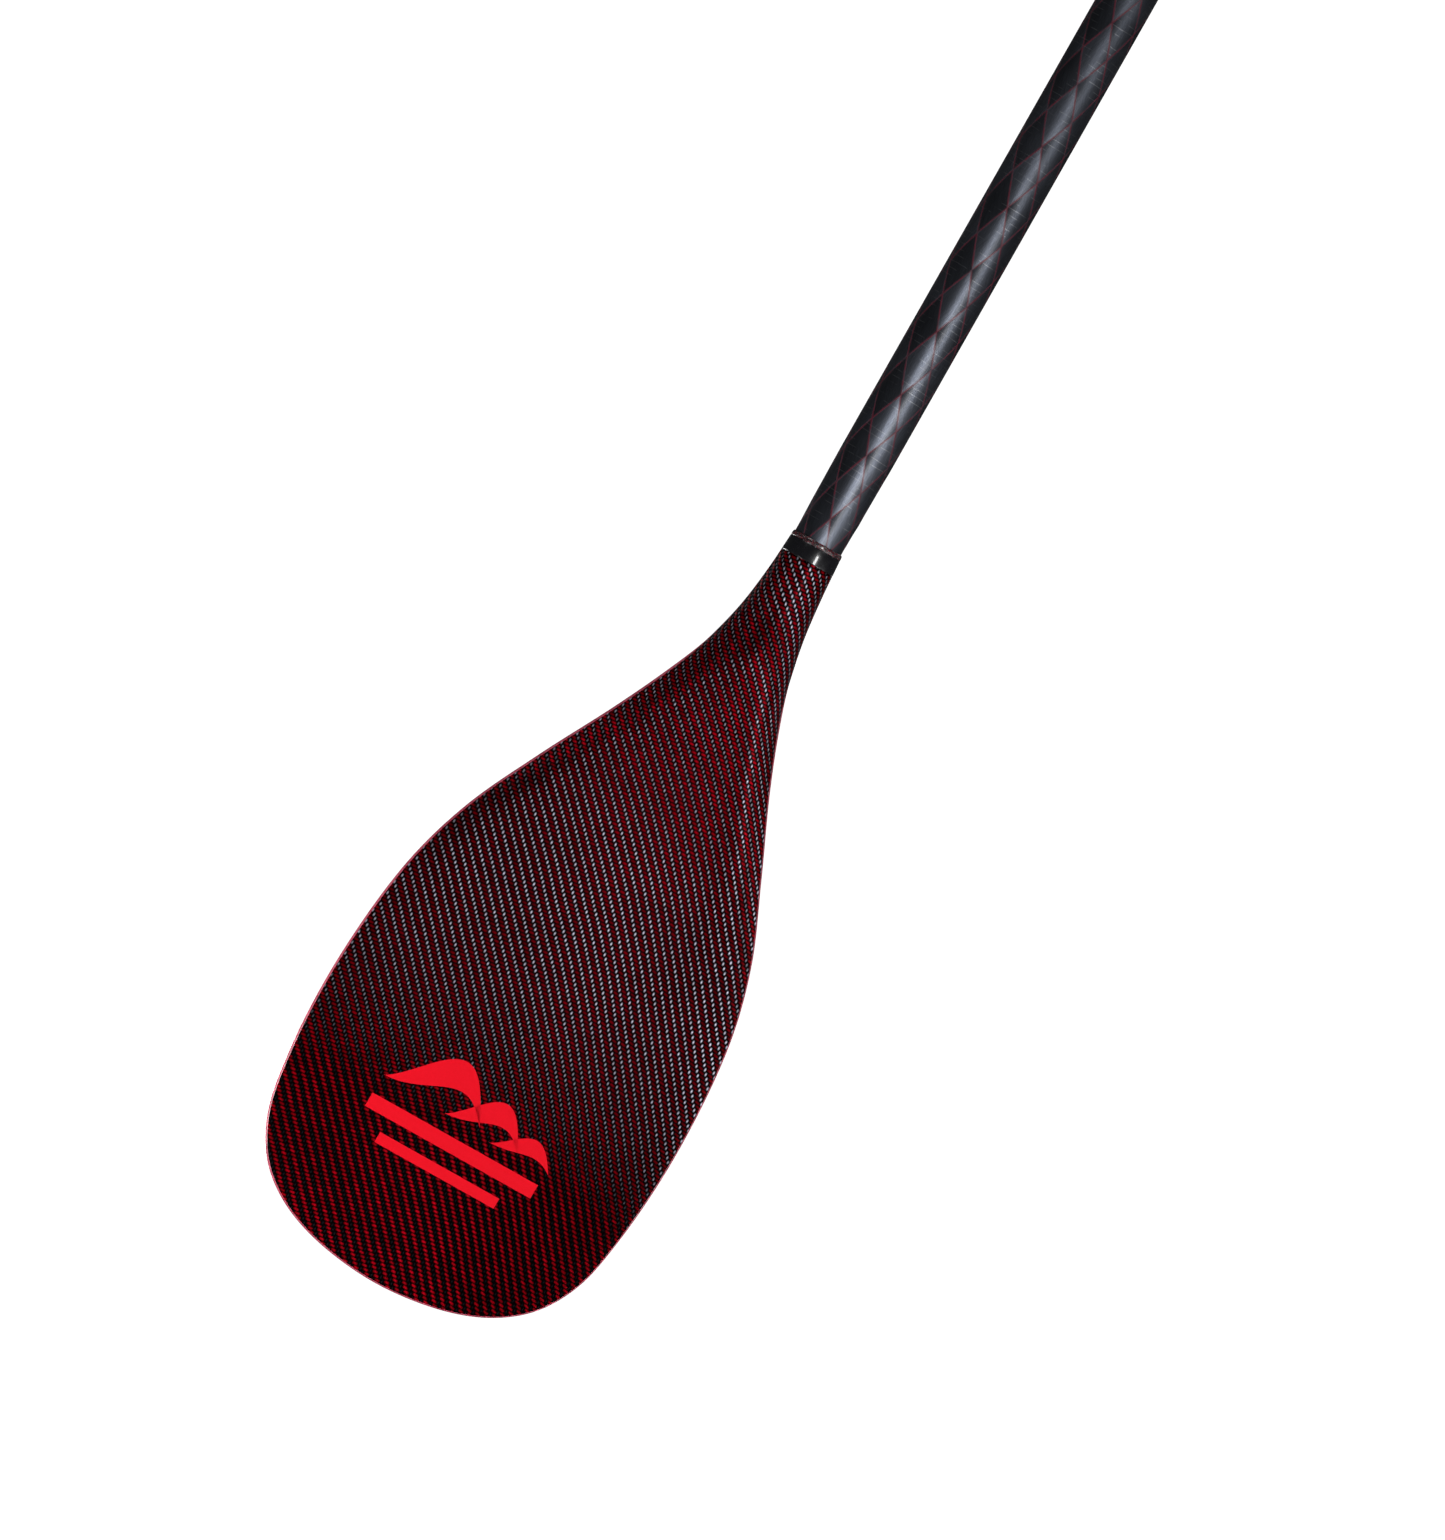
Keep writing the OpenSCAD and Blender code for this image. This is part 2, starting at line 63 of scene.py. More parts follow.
cad_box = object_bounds()
nodes = frame["nodes"]
MM = 0.001

BLADE_BODY = "blade_and_lower_shaft"
UPPER_BODY = "upper_shaft"

lip_low, lip_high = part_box("socket_lip")
rail_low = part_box("edge_rail")[0]
LIP_DEPTH = 2.4 * MM                       # how far the socket's lip reaches below the mouth
mouth_z = lip_low.z + LIP_DEPTH            # height of the mouth of the blade's socket
blade_length = mouth_z - rail_low.z
shaft_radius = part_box("lower_shaft")[1].x


# ---- Camera ------------------------------------------------------------------------------

VIEW_TURN = radians(-10.2)     # the camera stands this far round the shaft from the power face
VIEW_ROLL = radians(29.6)      # the shaft leans this far to the right in the picture
VIEW_WIDTH = 0.746             # width of the picture at the shaft
VIEW_DISTANCE = 9.0
SENSOR = 36.0

view_right = Vector((cos(VIEW_TURN), sin(VIEW_TURN), 0))
view_back = Vector((sin(VIEW_TURN), -cos(VIEW_TURN), 0))      # from the object to the camera
camera_right = view_right * cos(VIEW_ROLL) + Vector((0, 0, sin(VIEW_ROLL)))
camera_up = view_right * -sin(VIEW_ROLL) + Vector((0, 0, cos(VIEW_ROLL)))
view_centre = Vector((0, 0, mouth_z - 0.126)) + view_right * 0.015


def turned(obj, right, up, back):
    """Gives obj the axes right, up and back, without moving it."""
    matrix = obj.matrix_world.to_3x3().copy()
    for i, axis in enumerate((right, up, back)):
        matrix.col[i] = axis
    obj.matrix_world = matrix.to_4x4()


def add_camera():
    camera = bpy.data.objects.new("camera", bpy.data.cameras.new("camera"))
    bpy.context.scene.collection.objects.link(camera)
    turned(camera, camera_right, camera_up, view_back)
    camera.location = view_centre + view_back * VIEW_DISTANCE
    camera.data.sensor_fit = "HORIZONTAL"
    camera.data.sensor_width = SENSOR
    camera.data.lens = SENSOR * VIEW_DISTANCE / VIEW_WIDTH
    camera.data.clip_end = 100
    bpy.context.scene.camera = camera


add_camera()


# ---- The blade's shape, as in the CAD ----------------------------------------------------

# Stations in millimetres: depth below the mouth, half width, edge, face crown, back crown,
# the last three as distances behind the shaft's axis
BLADE_SHAPE = [
    (0, 14.3, 0, -14.4, 14.4),
    (24, 16, 0.3, -15.3, 15.7),
    (48, 19.1, 2.2, -15.2, 17.8),
    (72, 25, 6.2, -10.8, 21.4),
    (96, 34.1, 12.8, -1.6, 26.2),
    (125, 47, 20.6, 9.6, 31.8),
    (166, 67.4, 30.3, 23, 39),
    (208, 86.6, 36.6, 32, 43.8),
    (250, 98, 42, 38.7, 47.8),
    (313, 103.2, 48.6, 45.9, 53),
    (366, 100.3, 53.6, 51.2, 57),
    (397, 94, 56.2, 54, 59),
    (418, 82, 57.8, 55.8, 60.2),
    (432, 65, 58.8, 57, 60.9),
    (442, 40, 59.4, 57.7, 61.3),
    (447, 0, 59.7, 58, 61.5),
]
SEGMENTS = len(BLADE_SHAPE) - 1
EDGE_THICKNESS = 3.0           # millimetres, as are the numbers in the functions below
WEAVE_TOP = 0.465              # station where the woven skin begins, below the black band
RAIL_SHOWS = 0.9               # width of the rail that the cloth leaves bare
RAIL_START = 2.75              # station where the rail starts
RAIL_ROOT = 1.4                # how far in the rail's root lies, in half thicknesses
RAIL_ROOT_HALF = 0.92          # half the thickness of the root, in the same
RAIL_STEPS = 220
CREASE_SOFTNESS = 0.14         # share of the half width over which a crease is rounded
CREASE_TOP = 60                # depth where a crease lies half way out to the edge
CREASE_SPREAD = 325            # the larger it is, the more slowly the crease moves outwards
CREASE_END = 0.93              # the furthest out that it runs
SHOULDER_POWER = 1.4           # how sharply the face falls away past a crease
NECK_FADES = 55                # depth where the round neck starts to flatten
NECK_ENDS = 115                # depth where nothing of it is left
SPINE_WIDTH = 17               # reach of the spine on the back, to each side
SPINE_SHARE = 0.55             # how much of the back's height is spine, the rest being camber
TIGHT = 0.01                   # step along the outline by which its direction is measured
BISECTIONS = 40                # halvings by which a depth's station is found


def ramp(a, b, x):
    t = min(1, max(0, (x - a) / (b - a)))
    return t * t * (3 - 2 * t)


def between(a, b, ta, tb, t):
    return [(p * (tb - t) + q * (t - ta)) / (tb - ta) for p, q in zip(a, b)]


def knot(a, b):
    return sqrt(sqrt((a[0] - b[0]) ** 2 + (a[1] - b[1]) ** 2))


def smooth_point(p, t):
    """The point at share t of the stretch from p[1] to p[2] of a smooth curve through p."""
    t1 = knot(p[0], p[1])
    t2 = t1 + knot(p[1], p[2])
    t3 = t2 + knot(p[2], p[3])
    s = t1 + (t2 - t1) * t
    a1 = between(p[0], p[1], 0, t1, s)
    a2 = between(p[1], p[2], t1, t2, s)
    a3 = between(p[2], p[3], t2, t3, s)
    b1 = between(a1, a2, 0, t2, s)
    b2 = between(a2, a3, t1, t3, s)
    return between(b1, b2, t1, t2, s)


def knots_of(rows, after):
    before = [2 * a - b for a, b in zip(rows[0], rows[1])]
    return [before, *[list(r) for r in rows], after]


def along(knots, u):
    i = min(len(knots) - 4, max(0, int(u)))
    return smooth_point(knots[i:i + 4], u - i)


tip = list(BLADE_SHAPE[-2])
tip[1] = -tip[1]
BLADE_KNOTS = knots_of(BLADE_SHAPE, tip)


def station(u, inset=0.0):
    """A station of the blade, moved inwards from the outline by inset."""
    s = along(BLADE_KNOTS, u)
    ahead = along(BLADE_KNOTS, u + TIGHT)
    behind = along(BLADE_KNOTS, u - TIGHT)
    d0 = ahead[0] - behind[0]
    d1 = ahead[1] - behind[1]
    length = sqrt(d0 * d0 + d1 * d1)
    return [s[0] + inset * d1 / length, s[1] - inset * d0 / length, *s[2:]]


def neck(s):
    return 1 - ramp(NECK_FADES, NECK_ENDS, s[0])


def edge_half(s):
    return EDGE_THICKNESS / 2 * (1 - neck(s))


def crease(s):
    return min(CREASE_END, 0.5 + (s[0] - CREASE_TOP) / CREASE_SPREAD)


def softened(past_crease):
    """Like max(0, past_crease), but with a rounded corner."""
    return (past_crease + sqrt(past_crease ** 2 + CREASE_SOFTNESS ** 2)) / 2


def face_y(s, x):
    """Height of the power face at share x of the half width."""
    k = neck(s)
    c = crease(s)
    rise = s[2] - s[3] - edge_half(s)
    fall = (softened(abs(x) - c) / softened(1 - c)) ** SHOULDER_POWER
    round_part = sqrt(max(0, 1 - x * x))
    return s[2] - edge_half(s) - rise * (k * round_part + (1 - k) * (1 - fall))


def back_y(s, x):
    """Height of the back at share x of the half width: a spine that fades into a camber."""
    k = neck(s)
    rise = s[4] - s[2] - edge_half(s)
    spine = exp(-((x * s[1] / SPINE_WIDTH) ** 2))
    body = (SPINE_SHARE * spine + 1 - SPINE_SHARE) * (1 - x * x)
    return s[2] + edge_half(s) + rise * (k * sqrt(max(0, 1 - x * x)) + (1 - k) * body)


def face_point(x, depth, lift=0.0):
    """A point of the power face from millimetres across and below the mouth, in metres."""
    low = 0.0
    high = float(SEGMENTS)
    for _ in range(BISECTIONS):
        middle = (low + high) / 2
        if station(middle)[0] < depth:
            low = middle
        else:
            high = middle
    s = station(low)
    return Vector((x * MM, (face_y(s, x / s[1]) - lift) * MM, mouth_z - depth * MM))


# ---- Mesh building -----------------------------------------------------------------------

def new_piece(name, points, faces, smooth=True):
    mesh = bpy.data.meshes.new(name)
    mesh.from_pydata([tuple(p) for p in points], [], faces)
    mesh.update()
    if smooth:
        mesh.shade_smooth()
    obj = bpy.data.objects.new(name, mesh)
    bpy.context.scene.collection.objects.link(obj)
    return obj


def grid_faces(rows, columns, closed=False, flip=False):
    """Faces of a grid of points; closed joins the last column to the first."""
    faces = []
    for i in range(rows - 1):
        for j in range(columns if closed else columns - 1):
            k = (j + 1) % columns
            here = i * columns
            below = here + columns
            quad = (here + j, here + k, below + k, below + j)
            faces.append(quad[::-1] if flip else quad)
    return faces


def add_cloth_map(obj, coordinates):
    """Stores cloth coordinates, in metres, as the UV map that the weave is drawn by."""
    layer = obj.data.uv_layers.new(name="cloth")
    for loop in obj.data.loops:
        layer.data[loop.index].uv = coordinates[loop.vertex_index]


def finish_piece(obj, body, slot, material, *replaced):
    obj.data.materials.append(material)
    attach(obj, body)
    if replaced:
        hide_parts(*replaced)
    return obj


SKIN_COLUMNS = 96
SKIN_ROWS = 230
SKIN_THICKNESS = 0.6 * MM
SKIN_END = 0.002               # how far short of the tip the skin's last row lies, in stations


def skin_station(u):
    start = station(u)
    return station(u, RAIL_SHOWS * ramp(62, 92, start[0]))


def warp_lean(depth):
    """How far the lengthwise yarns lean, as a slope, at a distance below the mouth in metres."""
    return -0.12 + 0.155 * ramp(0.04, 0.30, depth)


def weft_dip(across):
    """How far the crosswise yarns dip, as a slope, at a distance to the right of the centre."""
    return 0.03 + 0.185 * ramp(-0.015, 0.055, across)


def blade_sheet(name, front):
    """One woven skin of the blade, with cloth coordinates measured along its surface."""
    height = face_y if front else back_y
    length = SEGMENTS - SKIN_END - WEAVE_TOP
    stations = [WEAVE_TOP + length * i / SKIN_ROWS for i in range(SKIN_ROWS + 1)]
    shares = [sin(pi * (j / SKIN_COLUMNS - 0.5)) for j in range(SKIN_COLUMNS + 1)]
    middle = SKIN_COLUMNS // 2
    points = []
    cloth = []
    run = 0.0
    lean = 0.0
    last = None
    for u in stations:
        s = skin_station(u)
        row = [Vector((x * s[1] * MM, height(s, x) * MM, mouth_z - s[0] * MM)) for x in shares]
        advance = (row[middle] - last).length if last else 0.0
        run += advance
        lean += warp_lean(run) * advance
        last = row[middle]
        across = [0.0]
        dip = [0.0]
        for a, b in zip(row, row[1:]):
            width = (b - a).length
            dip.append(dip[-1] + weft_dip((a.x + b.x) / 2) * width)
            across.append(across[-1] + width)
        points += row
        cloth += [(a - across[middle] + lean, run - d + dip[middle]) for a, d in zip(across, dip)]
    obj = new_piece(name, points, grid_faces(len(stations), len(shares), flip=front))
    add_cloth_map(obj, cloth)
    solid = obj.modifiers.new("thickness", "SOLIDIFY")
    solid.thickness = SKIN_THICKNESS
    solid.offset = -1
    return obj


def ring_points(u, side, arc):
    """A section of the rail at a station, on side 1 or -1, from its root round the arc."""
    s = station(u)
    half = edge_half(s)
    inner = station(u, 1.0)
    out = ((s[1] - inner[1]) * side, inner[0] - s[0])
    root = (-RAIL_ROOT * half, RAIL_ROOT_HALF * half)
    reach = [(root[0], -root[1]), *[(half * (cos(a) - 1), half * sin(a)) for a in arc], root]
    points = []
    for r, y in reach:
        depth = s[0] - r * out[1]
        points.append(Vector(((side * s[1] + r * out[0]) * MM, (s[2] + y) * MM, mouth_z - depth * MM)))
    return points


def edge_bead(name):
    """The rail: a round bead swept along the outline, from one shoulder to the other."""
    arc = [radians(a) for a in range(-80, 81, 16)]
    length = SEGMENTS - RAIL_START
    steps = [RAIL_START + length * i / RAIL_STEPS for i in range(RAIL_STEPS + 1)]
    rings = [ring_points(u, 1, arc) for u in steps]
    rings += [ring_points(u, -1, arc) for u in reversed(steps[:-1])]
    columns = len(rings[0])
    points = [p for ring in rings for p in ring]
    faces = grid_faces(len(rings), columns, closed=True, flip=True)
    faces += [tuple(range(columns)), tuple(range(len(points) - 1, len(points) - columns - 1, -1))]
    return new_piece(name, points, faces)


def lathe(name, profile, segments=96):
    """A piece turned about the shaft's axis from (radius, height) points of a closed profile."""
    points = [Vector((r * sin(a), -r * cos(a), z)) for r, z in profile
              for a in (2 * pi * j / segments for j in range(segments))]
    rows = len(profile)
    faces = grid_faces(rows, segments, closed=True)
    last = (rows - 1) * segments
    for j in range(segments):
        k = (j + 1) % segments
        faces.append((last + j, last + k, k, j))
    return new_piece(name, points, faces)


def ribbon(name, left, right, top, bottom, lift=0.09, columns=80, rows=10):
    """A painted mark on the power face between two curves, both depths as functions of x."""
    points = []
    for i in range(columns + 1):
        x = left + (right - left) * i / columns
        for j in range(rows + 1):
            depth = top(x) + (bottom(x) - top(x)) * j / rows
            points.append(face_point(x, depth, lift))
    return new_piece(name, points, grid_faces(columns + 1, rows + 1))


# ---- Node helpers ------------------------------------------------------------------------

class Graph:
    """A material's node tree, with short ways to add the nodes this script uses."""

    def __init__(self, name):
        self.material = bpy.data.materials.new(name)
        self.material.use_nodes = True
        self.tree = self.material.node_tree
        self.shader = self.tree.nodes["Principled BSDF"]

    def node(self, kind, **settings):
        made = self.tree.nodes.new(kind)
        for key, value in settings.items():
            setattr(made, key, value)
        return made

    def feed(self, socket, value):
        if isinstance(value, bpy.types.NodeSocket):
            self.tree.links.new(value, socket)
        else:
            socket.default_value = value

    def math(self, operation, *values, clamp=False):
        made = self.node("ShaderNodeMath", operation=operation, use_clamp=clamp)
        for socket, value in zip(made.inputs, values):
            self.feed(socket, value)
        return made.outputs[0]

    def vector(self, operation, *values):
        made = self.node("ShaderNodeVectorMath", operation=operation)
        for socket, value in zip(made.inputs, values):
            self.feed(socket, value)
        return made.outputs[0]

    def mix(self, share, a, b):
        """A number between a and b."""
        made = self.node("ShaderNodeMix", data_type="FLOAT", clamp_factor=False)
        for socket, value in zip((made.inputs[0], made.inputs[2], made.inputs[3]), (share, a, b)):
            self.feed(socket, value)
        return made.outputs[0]

    def blend(self, share, a, b, kind="RGBA"):
        """A colour, or with kind VECTOR a vector, between a and b."""
        made = self.node("ShaderNodeMix", data_type=kind)
        first, second, out = (6, 7, 2) if kind == "RGBA" else (4, 5, 1)
        self.feed(made.inputs[0], share)
        self.feed(made.inputs[first], a)
        self.feed(made.inputs[second], b)
        return made.outputs[out]

    def scaled(self, colour, factor):
        made = self.node("ShaderNodeVectorMath", operation="SCALE")
        self.feed(made.inputs[0], colour)
        self.feed(made.inputs["Scale"], factor)
        return made.outputs[0]

    def step(self, value, low, high):
        """0 where value is under low, 1 over high, and smooth between."""
        made = self.node("ShaderNodeMapRange", interpolation_type="SMOOTHSTEP")
        self.feed(made.inputs[0], value)
        made.inputs[1].default_value = low
        made.inputs[2].default_value = high
        return made.outputs[0]

    def noise(self, place, scale, detail=2.0, roughness=0.5):
        made = self.node("ShaderNodeTexNoise")
        self.feed(made.inputs["Vector"], place)
        made.inputs["Scale"].default_value = scale
        made.inputs["Detail"].default_value = detail
        made.inputs["Roughness"].default_value = roughness
        return made.outputs["Fac"]

    def join(self, x, y, z=0.0):
        made = self.node("ShaderNodeCombineXYZ")
        for socket, value in zip(made.inputs, (x, y, z)):
            self.feed(socket, value)
        return made.outputs[0]

    def split(self, place):
        made = self.node("ShaderNodeSeparateXYZ")
        self.feed(made.inputs[0], place)
        return made.outputs

    def here(self):
        """The place on the piece, in metres, which moves with the piece."""
        return self.node("ShaderNodeTexCoord").outputs["Object"]

    def cloth(self):
        return self.node("ShaderNodeUVMap", uv_map="cloth").outputs[0]

    def bump(self, height, distance, normal=None):
        made = self.node("ShaderNodeBump")
        made.inputs["Distance"].default_value = distance
        self.feed(made.inputs["Height"], height)
        if normal is not None:
            self.feed(made.inputs["Normal"], normal)
        return made.outputs[0]

    def rounded(self, radius):
        """Normals that look as if sharp edges had this radius."""
        made = self.node("ShaderNodeBevel", samples=6)
        made.inputs["Radius"].default_value = radius
        return made.outputs[0]

    def set(self, **values):
        """Sets the shader's inputs, given with _ for spaces."""
        for key, value in values.items():
            self.feed(self.shader.inputs[key.replace("_", " ")], value)


# ---- Materials ---------------------------------------------------------------------------

CARBON_PITCH = 1.65 * MM       # between yarns that run along the blade
ARAMID_PITCH = 1.67 * MM       # between yarns that run across it
YARN_RISE = 0.10 * MM          # height of the middle of an aramid float over its ends
CARBON_RISE = 0.35             # the same for a carbon float, as a share of that
YARN_SWAY = 0.7                # how far a yarn strays from its straight line, in pitches
ARAMID_RED = (0.27, 0.0002, 0.005)
CARBON_GREY = (0.50, 0.49, 0.60)
CARBON_FLOOR = 0.0004          # what the darkest carbon keeps of its grey


def weave_material():
    """Two-by-two twill of carbon along the blade and red aramid across it, under clear resin."""
    g = Graph("blade_weave")
    place = g.cloth()
    u, v, _ = g.split(place)
    sway = g.noise(place, 22, 2)
    drift = g.noise(g.vector("ADD", place, (3.1, 7.7, 0)), 30, 2)
    warp = g.math("ADD", g.math("DIVIDE", u, CARBON_PITCH), g.math("MULTIPLY", sway, YARN_SWAY))
    weft = g.math("ADD", g.math("DIVIDE", v, ARAMID_PITCH), g.math("MULTIPLY", drift, YARN_SWAY))
    i = g.math("FLOOR", warp)
    j = g.math("FLOOR", weft)
    fu = g.math("SUBTRACT", warp, i)
    fv = g.math("SUBTRACT", weft, j)
    m = g.math("FLOORED_MODULO", g.math("SUBTRACT", i, j), 4.0)
    aramid = g.math("LESS_THAN", m, 1.5)

    # how far along its float a yarn is, from 0 to 1
    along_aramid = g.math("DIVIDE", g.math("ADD", m, fu), 2.0)
    along_carbon = g.math("DIVIDE", g.math("ADD", g.math("SUBTRACT", 3.0, m), fv), 2.0)

    def arch(share, power):
        """Rises from 0 at both ends of share to 1 in the middle, flatter for a higher power."""
        off = g.math("ABSOLUTE", g.math("MULTIPLY_ADD", share, 2.0, -1.0))
        return g.math("SUBTRACT", 1.0, g.math("POWER", g.math("MINIMUM", off, 1.0), power))

    carbon_long = arch(along_carbon, 3.0)
    aramid_long = arch(along_aramid, 3.0)
    carbon_height = g.math("MULTIPLY", g.math("MULTIPLY", carbon_long, arch(fu, 6.0)), CARBON_RISE)
    aramid_height = g.math("MULTIPLY", aramid_long, arch(fv, 2.5))
    height = g.mix(aramid, carbon_height, aramid_height)

    # each float differs a little from its neighbours, and fine filaments run along it
    tint = g.node("ShaderNodeTexWhiteNoise", noise_dimensions="2D")
    float_column = g.math("FLOOR", g.math("DIVIDE", g.math("SUBTRACT", i, m), 4.0))
    g.feed(tint.inputs["Vector"], g.join(g.mix(aramid, i, float_column), j))
    filament_u = g.noise(g.join(g.math("MULTIPLY", u, 30.0), g.math("MULTIPLY", v, 900.0)), 9, 1)
    filament_v = g.noise(g.join(g.math("MULTIPLY", u, 900.0), g.math("MULTIPLY", v, 30.0)), 9, 1)
    filament = g.mix(aramid, filament_v, filament_u)

    # painted shade: towards the tip the carbon's glint fades to almost nothing, along a line slanting
    # across the blade
    painted_tip_shade = g.step(g.math("MULTIPLY_ADD", u, 0.1, v), 0.225, 0.355)
    patch = g.math("MULTIPLY_ADD", g.noise(place, 9, 2), 0.5, 0.75)
    spread = g.math("MULTIPLY_ADD", tint.outputs["Value"], 0.35, 0.82)
    sheen = g.math("MULTIPLY", patch, spread)
    sheen = g.math("MULTIPLY", sheen, g.math("MULTIPLY_ADD", filament, 0.3, 0.85))

    # the aramid is brightest along the middle of each float, and painted shade dulls it across the blade's
    # middle
    red_level = g.math("MULTIPLY", sheen, g.math("MULTIPLY_ADD", arch(fv, 2.0), 0.85, 0.15))
    red_level = g.math("MULTIPLY", red_level, g.math("MULTIPLY_ADD", aramid_long, 0.88, 0.12))
    shade = g.math("SUBTRACT", g.step(v, 0.10, 0.22), g.step(v, 0.30, 0.38))
    red_level = g.math("MULTIPLY", g.math("POWER", red_level, 2.0), g.mix(shade, 1.0, 0.4))
    red = g.scaled(ARAMID_RED, red_level)

    # the carbon's grey is a painted glint in the middle of each float, which the lamps then light
    painted_glint_level = g.math("POWER", g.math("MULTIPLY", arch(along_carbon, 2.0), arch(fu, 2.2)), 4.5)
    painted_glint_level = g.math("MULTIPLY", painted_glint_level, g.mix(painted_tip_shade, 1.0, 0.01))
    painted_glint_level = g.math("ADD", g.math("MULTIPLY", painted_glint_level, sheen), CARBON_FLOOR)
    painted_glint = g.scaled(CARBON_GREY, painted_glint_level)
    colour = g.blend(aramid, painted_glint, red)
    relief = g.math("ADD", height, g.math("MULTIPLY", filament, 0.04))

    tangent = g.node("ShaderNodeTangent", direction_type="UV_MAP", uv_map="cloth").outputs[0]
    normal = g.node("ShaderNodeNewGeometry").outputs["Normal"]
    other = g.vector("CROSS_PRODUCT", normal, tangent)
    g.set(Base_Color=colour, Metallic=g.mix(aramid, 0.95, 0.5), Roughness=g.mix(aramid, 0.43, 0.42),
          Anisotropic=1.0, Tangent=g.blend(aramid, tangent, other, "VECTOR"),
          Specular_IOR_Level=0.02, Coat_Weight=0.01, Coat_Roughness=0.2,
          Normal=g.bump(relief, YARN_RISE))
    return g.material


def rail_material():
    g = Graph("rail_resin")
    place = g.here()
    fleck = g.noise(place, 1500, 3)
    run = g.noise(place, 120, 2)
    colour = g.blend(g.step(g.math("ADD", fleck, g.math("MULTIPLY", run, 0.4)), 0.45, 0.85),
                     (0.20, 0.006, 0.026, 1), (0.42, 0.08, 0.12, 1))
    g.set(Base_Color=colour, Roughness=g.mix(run, 0.25, 0.5), Coat_Weight=0.6, Coat_Roughness=0.1,
          Normal=g.bump(fleck, 0.03 * MM))
    return g.material


def lip_material():
    """Red and black thread ends showing through glossy resin, with whitish specks of painted glint."""
    g = Graph("lip_resin")
    x, y, z = g.split(g.here())
    around = g.math("ARCTAN2", x, g.math("MULTIPLY", y, -1.0))
    threads = g.noise(g.join(g.math("MULTIPLY", around, 14.0), g.math("MULTIPLY", z, 900.0)), 1.3, 3, 0.6)
    colour = g.blend(g.step(threads, 0.50, 0.60), (0.006, 0.006, 0.008, 1), (0.16, 0.004, 0.014, 1))
    # whitish specks: painted glints on the resin
    painted_glint_specks = g.noise(g.join(g.math("MULTIPLY", around, 40.0), g.math("MULTIPLY", z, 1500.0), 5.0), 1.0, 2)
    colour = g.blend(g.step(painted_glint_specks, 0.60, 0.66), colour, (0.40, 0.40, 0.40, 1))
    g.set(Base_Color=colour, Roughness=0.3, Coat_Weight=1.0, Coat_Roughness=0.05,
          Normal=g.bump(threads, 0.25 * MM))
    return g.material


def band_material():
    g = Graph("gloss_black")
    place = g.here()
    ripple = g.noise(place, 260, 3)
    dust = g.step(g.noise(place, 2600, 1), 0.68, 0.78)
    g.set(Base_Color=g.blend(dust, (0.007, 0.007, 0.009, 1), (0.03, 0.03, 0.033, 1)),
          Roughness=g.mix(ripple, 0.2, 0.32), Coat_Weight=0.6, Coat_Roughness=0.1,
          Normal=g.bump(ripple, 0.12 * MM))
    return g.material


TRACER_COUNT = 6               # helices each way
TRACER_LEAD = 0.220
TRACER_TURN = radians(-12.2)   # where a row of crossings lies, round the shaft
TRACER_WIDTH = 0.9 * MM
TAPE_PITCH = 3.5 * MM


